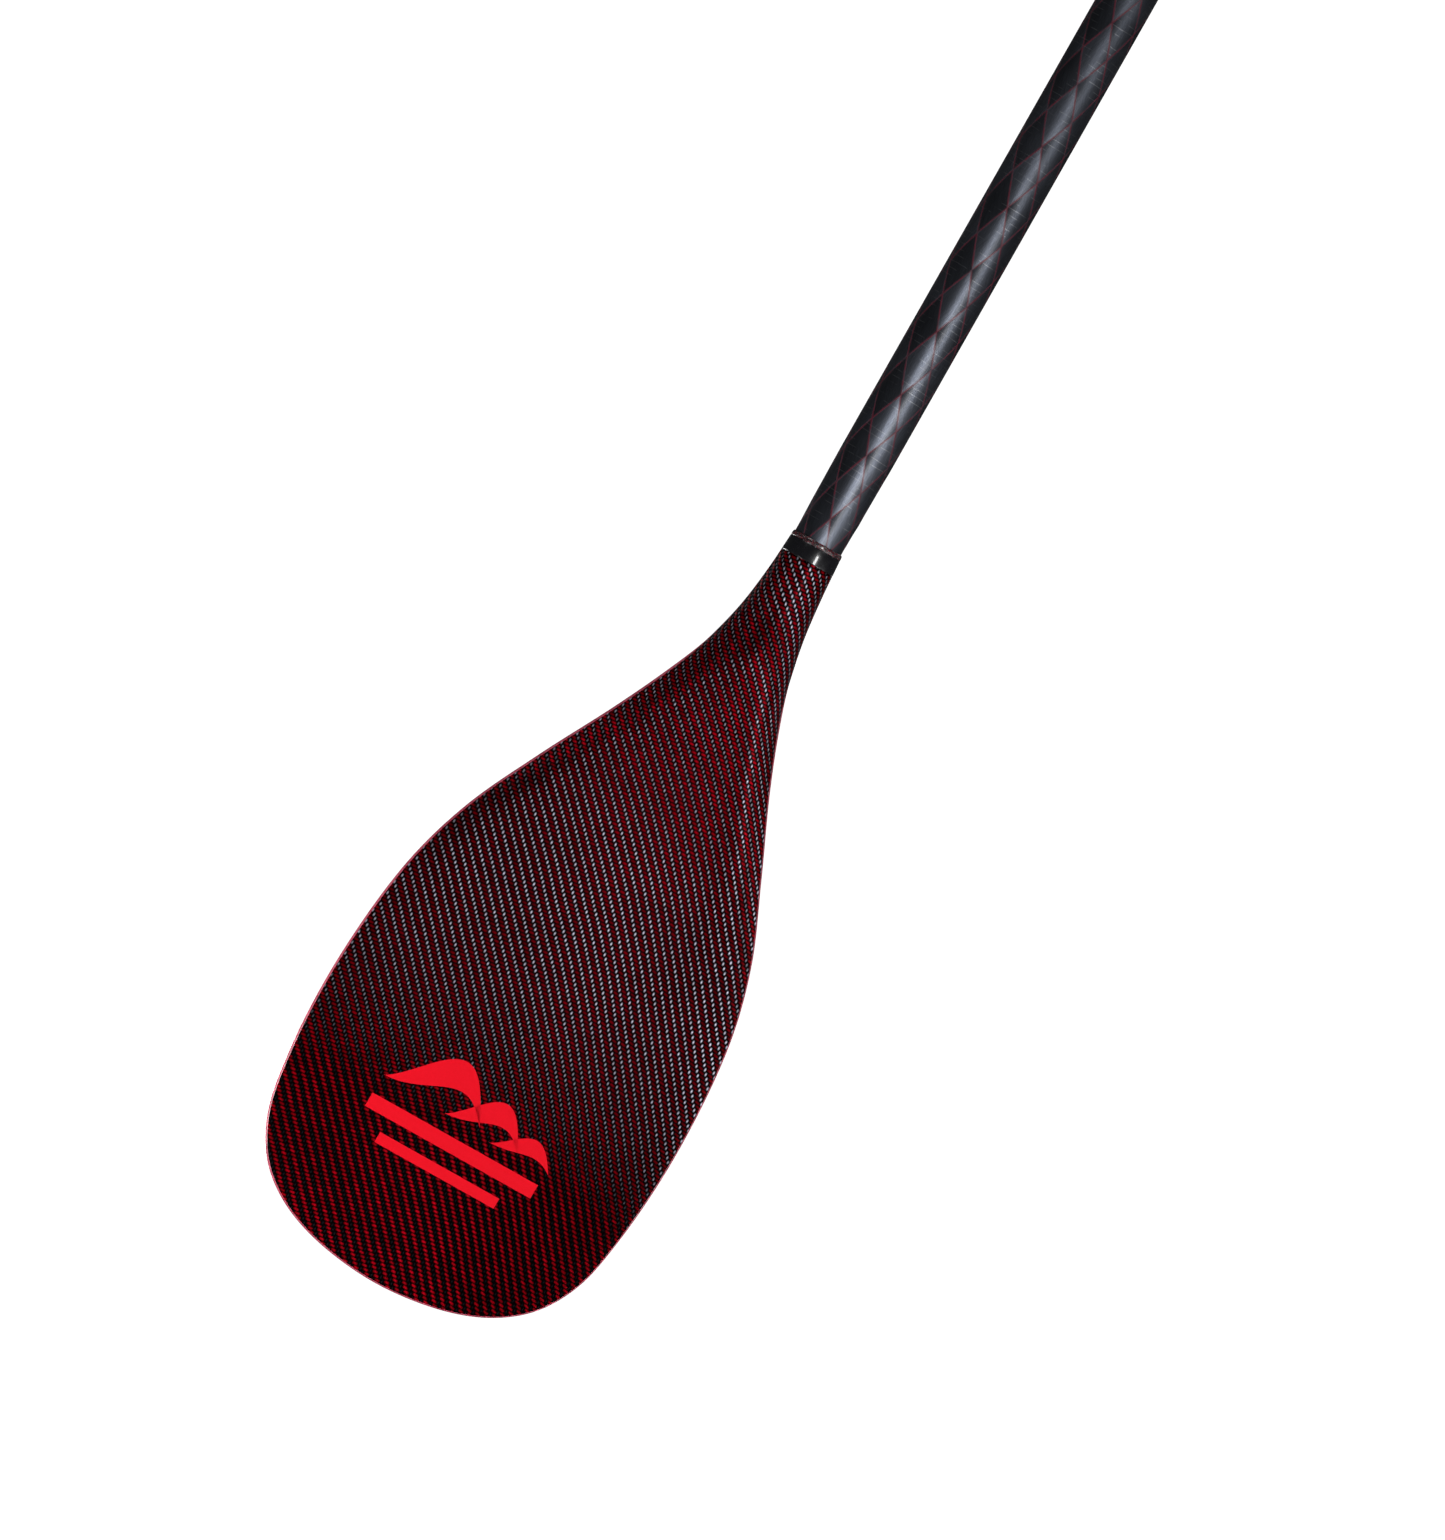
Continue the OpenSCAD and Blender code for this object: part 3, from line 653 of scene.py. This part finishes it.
def shaft_material(name, crossing_z, tracer, marks=None):
    """Carbon tube with crossing tracer threads and the faint ridges of its wrapping tape."""
    g = Graph(name)
    place = g.here()
    x, y, z = g.split(place)
    around = g.math("ARCTAN2", x, g.math("MULTIPLY", y, -1.0))
    turn = g.math("MULTIPLY", g.math("SUBTRACT", around, TRACER_TURN), TRACER_COUNT / (2 * pi))
    rise = g.math("MULTIPLY", g.math("SUBTRACT", z, crossing_z), TRACER_COUNT / TRACER_LEAD)
    wobble = g.math("MULTIPLY", g.math("SUBTRACT", g.noise(place, 18, 2), 0.5), 0.10)
    left = g.math("ADD", g.math("ADD", turn, rise), wobble)
    right = g.math("SUBTRACT", g.math("SUBTRACT", turn, rise), wobble)
    gap = 2 * pi * shaft_radius / TRACER_COUNT * 0.926    # between neighbouring threads

    def thread(phase):
        off = g.math("ABSOLUTE", g.math("SUBTRACT", phase, g.math("ROUND", phase)))
        return g.step(g.math("MULTIPLY", off, gap), TRACER_WIDTH * 0.72, TRACER_WIDTH * 0.28)

    threads = g.math("MAXIMUM", thread(left), thread(right))
    break_up = g.step(g.noise(place, 260, 2), 0.30, 0.55)
    threads = g.math("MULTIPLY", threads, g.mix(break_up, 0.45, 1.0))

    # lozenges between the threads: the fibres under each lie one way or the other
    cells = g.math("ADD", g.math("FLOOR", left), g.math("FLOOR", right))
    parity = g.math("FLOORED_MODULO", cells, 2.0)
    unrolled = g.math("MULTIPLY", around, shaft_radius)
    fibres = g.noise(g.join(g.math("MULTIPLY", unrolled, 2600.0), g.math("MULTIPLY", z, 60.0)), 1.0, 3, 0.6)
    slant = g.mix(parity, 0.4, -0.4)
    across = g.math("ADD", unrolled, g.math("MULTIPLY", z, slant))
    slanted = g.noise(g.join(g.math("MULTIPLY", across, 1900.0), g.math("MULTIPLY", z, 45.0)), 1.0, 2, 0.6)
    cloud = g.noise(place, 34, 3)

    tape = g.math("ADD", g.math("DIVIDE", z, TAPE_PITCH), g.math("DIVIDE", around, 2 * pi))
    tape = g.math("ADD", tape, g.math("MULTIPLY", g.noise(place, 60, 2), 0.5))
    tape_off = g.math("ABSOLUTE", g.math("SUBTRACT", tape, g.math("ROUND", tape)))
    ridge = g.step(tape_off, 0.09, 0.0)
    ridge = g.math("MULTIPLY", ridge, g.step(g.noise(place, 130, 2), 0.48, 0.62))

    level = g.math("MULTIPLY", g.math("MULTIPLY_ADD", fibres, 0.9, 0.45),
                   g.math("MULTIPLY_ADD", slanted, 0.7, 0.6))
    # painted sheen: the lozenges of one parity are a little brighter, as their fibres catch the light
    level = g.math("MULTIPLY", level, g.math("MULTIPLY_ADD", parity, 0.35, 0.8))
    level = g.math("MULTIPLY", level, g.math("MULTIPLY_ADD", cloud, 0.8, 0.6))
    carbon = g.scaled((0.10, 0.11, 0.135), level)
    carbon = g.blend(g.math("MULTIPLY", ridge, 0.5), carbon, (0.30, 0.31, 0.33, 1))
    colour = g.blend(g.math("MULTIPLY", threads, 0.9), carbon, tracer)
    painted = 0.0
    if marks is not None:
        painted = marks(g, around, z)
        colour = g.blend(painted, colour, (0.62, 0.62, 0.6, 1))
    metallic = g.math("MULTIPLY", g.math("SUBTRACT", 1.0, g.math("MAXIMUM", threads, painted)), 0.92)
    relief = g.math("ADD", g.math("MULTIPLY", ridge, 0.5), g.math("MULTIPLY", fibres, 0.35))
    relief = g.math("ADD", relief, g.math("MULTIPLY", threads, 0.4))

    # the fibres of each lozenge tilt its sheen a little to one side
    smooth = g.node("ShaderNodeNewGeometry").outputs["Normal"]
    sideways = g.vector("CROSS_PRODUCT", (0, 0, 1), smooth)
    tilt = g.scaled(sideways, g.mix(parity, -0.11, 0.11))
    tilted = g.vector("NORMALIZE", g.vector("ADD", smooth, tilt))
    g.set(Base_Color=colour, Metallic=metallic, Roughness=g.mix(cloud, 0.34, 0.48),
          Coat_Weight=0.3, Coat_Roughness=0.3, Normal=g.bump(relief, 0.03 * MM, tilted))
    return g.material


def moulded_material(name, colour, roughness, grain=0.05, edge=0.5 * MM, wear=0.35,
                     metallic=0.0, coat=0.0):
    """Moulded or turned part: fine grain, soft edges, and wear that lightens the edges."""
    g = Graph(name)
    place = g.here()
    soft = g.rounded(edge)
    grain_noise = g.noise(place, 2200, 2, 0.6)
    smudge = g.noise(place, 70, 3)
    hard = g.node("ShaderNodeNewGeometry").outputs["Normal"]
    facing = g.node("ShaderNodeVectorMath", operation="DOT_PRODUCT")
    g.feed(facing.inputs[0], soft)
    g.feed(facing.inputs[1], hard)
    rim = g.step(facing.outputs["Value"], 0.995, 0.90)
    worn = g.math("MULTIPLY", rim, g.step(g.noise(place, 420, 3, 0.7), 0.42, 0.66))
    light = tuple(min(1, c * 2.2 + 0.03) for c in colour)
    tone = g.scaled(colour, g.math("MULTIPLY_ADD", smudge, 0.4, 0.8))
    shown = g.blend(g.math("MULTIPLY", worn, wear), tone, (*light, 1))
    rough = g.math("ADD", g.math("MULTIPLY_ADD", smudge, 0.16, roughness - 0.08),
                   g.math("MULTIPLY", grain_noise, 0.06))
    g.set(Base_Color=shown, Metallic=metallic, Roughness=rough, Coat_Weight=coat, Coat_Roughness=0.12,
          Normal=g.bump(grain_noise, grain * MM, soft))
    return g.material


def foam_material():
    g = Graph("blade_foam")
    place = g.here()
    cells = g.node("ShaderNodeTexVoronoi")
    g.feed(cells.inputs["Vector"], place)
    cells.inputs["Scale"].default_value = 1400
    pores = cells.outputs["Distance"]
    g.set(Base_Color=g.blend(g.step(pores, 0.1, 0.6), (0.82, 0.78, 0.64, 1), (0.95, 0.93, 0.85, 1)),
          Roughness=0.85, Normal=g.bump(pores, 0.15 * MM))
    return g.material


def paint_material():
    g = Graph("mark_red")
    place = g.here()
    mottle = g.noise(place, 900, 3)
    g.set(Base_Color=g.blend(mottle, (0.48, 0.002, 0.007, 1), (0.56, 0.003, 0.012, 1)),
          Roughness=g.mix(mottle, 0.5, 0.62), Specular_IOR_Level=0.06,
          Normal=g.bump(mottle, 0.02 * MM))
    return g.material


# ---- Blade pieces ------------------------------------------------------------------------

weave = weave_material()
finish_piece(blade_sheet("blade_front", True), BLADE_BODY, "blade_weave", weave, "front_skin")
finish_piece(blade_sheet("blade_back", False), BLADE_BODY, "blade_weave", weave, "back_skin")
finish_piece(edge_bead("blade_edge"), BLADE_BODY, "rail_resin", rail_material(), "edge_rail")

paint = paint_material()


def crest(base, height, left, right, lean):
    """A curve that starts and ends at base and bulges up by height, leaning to one side."""
    def curve(x):
        share = (x - left) / (right - left)
        return base - height * sin(pi * share ** lean)
    return curve


# Marks in millimetres: left, right, depth of the foot, heights of the outer and inner curve
WAVES = [
    (-52, 6, 350, 27, 12),
    (-14, 30, 352, 20, 8),
    (14, 50, 354, 13, 4),
]
# Bars in millimetres: left, right, top, bottom
BARS = [
    (-52, 48, 361, 369),
    (-38, 34, 377, 383),
]
OUTER_LEAN = 1.35
INNER_LEAN = 1.9

for k, (left, right, base, top, bottom) in enumerate(WAVES):
    outer = crest(base, top, left, right, OUTER_LEAN)
    inner = crest(base, bottom, left, right, INNER_LEAN)
    mark = ribbon(f"wave_mark_{k}", left, right, outer, inner)
    finish_piece(mark, BLADE_BODY, None, paint)
for k, (left, right, top, bottom) in enumerate(BARS):
    mark = ribbon(f"bar_mark_{k}", left, right, lambda x, t=top: t, lambda x, b=bottom: b, rows=4)
    finish_piece(mark, BLADE_BODY, None, paint)

# ---- Neck --------------------------------------------------------------------------------

band_low, band_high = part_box("neck_band")
band_middle = (band_low.z + band_high.z) / 2

# Outlines as (radius in millimetres, height in metres)
LIP_PROFILE = [
    (13.4, lip_low.z + 0.05 * MM),
    (14.35, lip_low.z + 0.05 * MM),
    (14.5, lip_low.z + 0.3 * MM),
    (14.45, lip_low.z + 1.6 * MM),
    (14.3, lip_high.z - 0.6 * MM),
    (14.15, lip_high.z - 0.15 * MM),
    (13.95, lip_high.z),
    (13.4, lip_high.z),
]
BAND_PROFILE = [
    (13.8, band_low.z - 0.1 * MM),
    (15.0, band_low.z - 0.1 * MM),
    (15.02, band_low.z + 0.2 * MM),
    (14.75, band_middle),
    (14.5, band_high.z - 0.3 * MM),
    (14.35, band_high.z),
    (13.8, band_high.z),
]
neck_ring = lathe("neck_ring", [(r * MM, z) for r, z in LIP_PROFILE])
finish_piece(neck_ring, BLADE_BODY, "lip_resin", lip_material(), "socket_lip")
neck_band = lathe("neck_band_black", [(r * MM, z) for r, z in BAND_PROFILE])
finish_piece(neck_band, BLADE_BODY, "gloss_black", band_material(), "neck_band")

# ---- Palm grip ---------------------------------------------------------------------------

# Stations in millimetres: height above the grip's foot, half width, half thickness, squareness
GRIP_SHAPE = [
    (0, 14.2, 14.2, 2),
    (15, 13.9, 13.9, 2),
    (30, 16, 13.5, 2.1),
    (42, 24, 13.2, 2.3),
    (51, 38, 13, 2.5),
    (58, 50.5, 12.6, 2.6),
    (64, 55.5, 11.6, 2.6),
    (69, 55.2, 10.4, 2.6),
    (74, 52, 8, 2.6),
    (77, 47.5, 4.6, 2.6),
    (78, 43, 1, 2.6),
]
GRIP_KNOTS = knots_of(GRIP_SHAPE, [2 * a - b for a, b in zip(GRIP_SHAPE[-1], GRIP_SHAPE[-2])])
GRIP_ROWS = 120
GRIP_COLUMNS = 60
GRIP_SEAM = 0.35               # how far the two shells are rounded off where they meet
grip_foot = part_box("handle_front_shell")[0].z
tube_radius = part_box("upper_tube")[1].x


def grip_row(s, side):
    """Half a section of the grip, from seam to seam."""
    row = []
    for j in range(GRIP_COLUMNS + 1):
        x = sin(pi * (j / GRIP_COLUMNS - 0.5))
        thick = s[2] * max(0, 1 - abs(x) ** s[3]) ** (1 / s[3])
        trim = GRIP_SEAM * max(0, 1 - thick / GRIP_SEAM) ** 2 * (1 if x > 0 else -1)
        row.append(Vector(((x * s[1] - trim) * MM, side * thick * MM, grip_foot + s[0] * MM)))
    return row


def grip_half(name, side):
    """One moulded shell of the palm grip, closed over its top and under its foot."""
    last = len(GRIP_SHAPE) - 1
    rows = [grip_row(along(GRIP_KNOTS, last * i / GRIP_ROWS), side) for i in range(GRIP_ROWS + 1)]
    foot = [Vector((p.x, p.y, 0)).normalized() * (tube_radius + 0.1 * MM) for p in rows[0]]
    rows.insert(0, [Vector((p.x, p.y, grip_foot)) for p in foot])
    rows.append([Vector((p.x, 0, p.z)) for p in rows[-1]])
    points = [p for row in rows for p in row]
    return new_piece(name, points, grid_faces(len(rows), GRIP_COLUMNS + 1, flip=side > 0))


grip_material = moulded_material("grip_shell", (0.03, 0.031, 0.036), 0.45, 0.1, 0.3 * MM, 0.15)
finish_piece(grip_half("grip_front", -1), UPPER_BODY, "grip_shell", grip_material, "handle_front_shell")
finish_piece(grip_half("grip_back", 1), UPPER_BODY, "grip_shell", grip_material, "handle_back_shell")

# ---- CAD nodes that keep their shape -----------------------------------------------------

upper_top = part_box("upper_tube")[1].z


def height_marks(g, around, z):
    """Plain tick marks up the front of the upper shaft, every 20 mm and longer every 100 mm."""
    step_size = 20 * MM
    steps = g.math("DIVIDE", g.math("SUBTRACT", upper_top - 0.05, z), step_size)
    off = g.math("ABSOLUTE", g.math("SUBTRACT", steps, g.math("ROUND", steps)))
    off = g.math("MULTIPLY", off, step_size)
    line = g.step(off, 0.7 * MM, 0.45 * MM)
    every = g.math("FLOORED_MODULO", g.math("ROUND", steps), 5.0)
    width = g.mix(g.math("LESS_THAN", every, 0.5), 0.16, 0.42)
    inside = g.math("LESS_THAN", g.math("ABSOLUTE", around), width)
    reach = g.math("GREATER_THAN", steps, -0.4)
    return g.math("MULTIPLY", g.math("MULTIPLY", line, inside), reach)


TRACER_CROSSING = mouth_z + 0.0148
materials = {
    "shaft_carbon": shaft_material("shaft_carbon", TRACER_CROSSING, (0.10, 0.006, 0.018, 1)),
    "upper_carbon": shaft_material("upper_carbon", 0.0, (0.035, 0.037, 0.045, 1), height_marks),
    "clamp_nylon": moulded_material("clamp_nylon", (0.02, 0.02, 0.022), 0.42, 0.08),
    "fastener_steel": moulded_material("fastener_steel", (0.55, 0.56, 0.58), 0.28, 0.01,
                                       0.25 * MM, 0.3, 1.0),
    "lever_red": moulded_material("lever_red", (0.42, 0.008, 0.022), 0.32, 0.02, 0.7 * MM, 0.4, 0.0, 0.4),
    "pad_rubber": moulded_material("pad_rubber", (0.018, 0.018, 0.018), 0.7, 0.12, 0.4 * MM, 0.1),
    "inner_laminate": moulded_material("inner_laminate", (0.03, 0.03, 0.033), 0.5, 0.1),
    "blade_foam": foam_material(),
}
for part in frame["record"]["subparts"]:
    if part["material_slot"] in materials:
        nodes[part["node"]].data.materials.clear()
        nodes[part["node"]].data.materials.append(materials[part["material_slot"]])

# ---- Stage and light ---------------------------------------------------------------------

FLOOR_Z = cad_box[0][2] - 0.35
STAGE_WHITE = 1.1
STAGE_RADIUS = 36.0
BEND_RADIUS = 4.0              # of the curve between the floor and the backdrop
BACKDROP_TOP = 40.0


def stage_material():
    g = Graph("stage")
    g.set(Base_Color=(0.85, 0.85, 0.85, 1), Roughness=0.9,
          Emission_Color=(1, 1, 1, 1), Emission_Strength=STAGE_WHITE)
    return g.material


def add_stage():
    """A pale floor that curves up into a backdrop all round the object."""
    bend = (pi / 2 * k / 12 for k in range(1, 13))
    rings = [(0.0, 0.0), (STAGE_RADIUS, 0.0)]
    rings += [(STAGE_RADIUS + BEND_RADIUS * sin(a), BEND_RADIUS * (1 - cos(a))) for a in bend]
    rings += [(STAGE_RADIUS + BEND_RADIUS, BACKDROP_TOP)]
    segments = 96
    points = [Vector((r * cos(a), r * sin(a), FLOOR_Z + h)) for r, h in rings
              for a in (2 * pi * j / segments for j in range(segments))]
    floor = new_piece("floor", points, grid_faces(len(rings), segments, closed=True))
    floor.data.materials.append(stage_material())
    floor.visible_glossy = False
    floor.visible_diffuse = False
    floor.visible_shadow = False


def add_light(name, target, azimuth, elevation, distance, width, height, radiance, glossy=True):
    """A soft rectangular light aimed at target, from azimuth degrees round it and elevation above."""
    turn = radians(azimuth)
    tilt = radians(elevation)
    aim = Vector((sin(turn) * cos(tilt), -cos(turn) * cos(tilt), sin(tilt)))
    light = bpy.data.objects.new(name, bpy.data.lights.new(name, "AREA"))
    bpy.context.scene.collection.objects.link(light)
    side = Vector((0, 0, 1)).cross(aim).normalized()
    turned(light, side, aim.cross(side), aim)
    light.location = target + aim * distance
    light.data.shape = "RECTANGLE"
    light.data.size = width
    light.data.size_y = height
    light.data.energy = pi * width * height * radiance
    light.visible_glossy = glossy


def down_blade(share, across=0.0):
    """A place on the face of the blade, at a share of its length below the mouth."""
    return Vector((across, 0.05 * share, mouth_z - blade_length * share))


add_stage()
add_light("shaft_key", Vector((0, 0, mouth_z + 0.035)), 16.5, 0, 0.8, 0.12, 0.25, 26)
add_light("shaft_strip", Vector((0, 0, mouth_z + 0.4)), 16.5, 0, 1.0, 0.12, 0.6, 0.6)
add_light("blade_key", down_blade(0.5), 52, -18, 0.8, 0.55, 0.10, 11)
add_light("low_left", down_blade(0.85, -0.06), -60, -30, 0.45, 0.3, 0.3, 7, False)
add_light("flank", down_blade(0.3, 0.04), 54, -8, 0.9, 0.45, 0.5, 1.2)
add_light("left_shoulder", down_blade(0.36, -0.06), -48, -50, 0.45, 0.14, 0.2, 14)
add_light("right_shoulder", down_blade(0.3, 0.04), 52, -50, 0.45, 0.1, 0.2, 12)
add_light("top_left", Vector((0, 0, 0.62)), -55, 20, 1.3, 0.5, 0.9, 5)
add_light("top_right", Vector((0, 0, 0.60)), 35, 5, 1.2, 0.15, 0.9, 6)
add_light("back_high", Vector((0, 0, -0.2)), 165, 38, 1.8, 0.9, 1.4, 8)
add_light("back_low", Vector((0, 0, -0.5)), 205, -28, 1.4, 0.5, 0.5, 12)

world = bpy.data.worlds.new("world")
world.use_nodes = True
world.node_tree.nodes["Background"].inputs["Color"].default_value = (1, 1, 1, 1)
world.node_tree.nodes["Background"].inputs["Strength"].default_value = 0.03
bpy.context.scene.world = world
bpy.context.scene.view_settings.view_transform = "Standard"
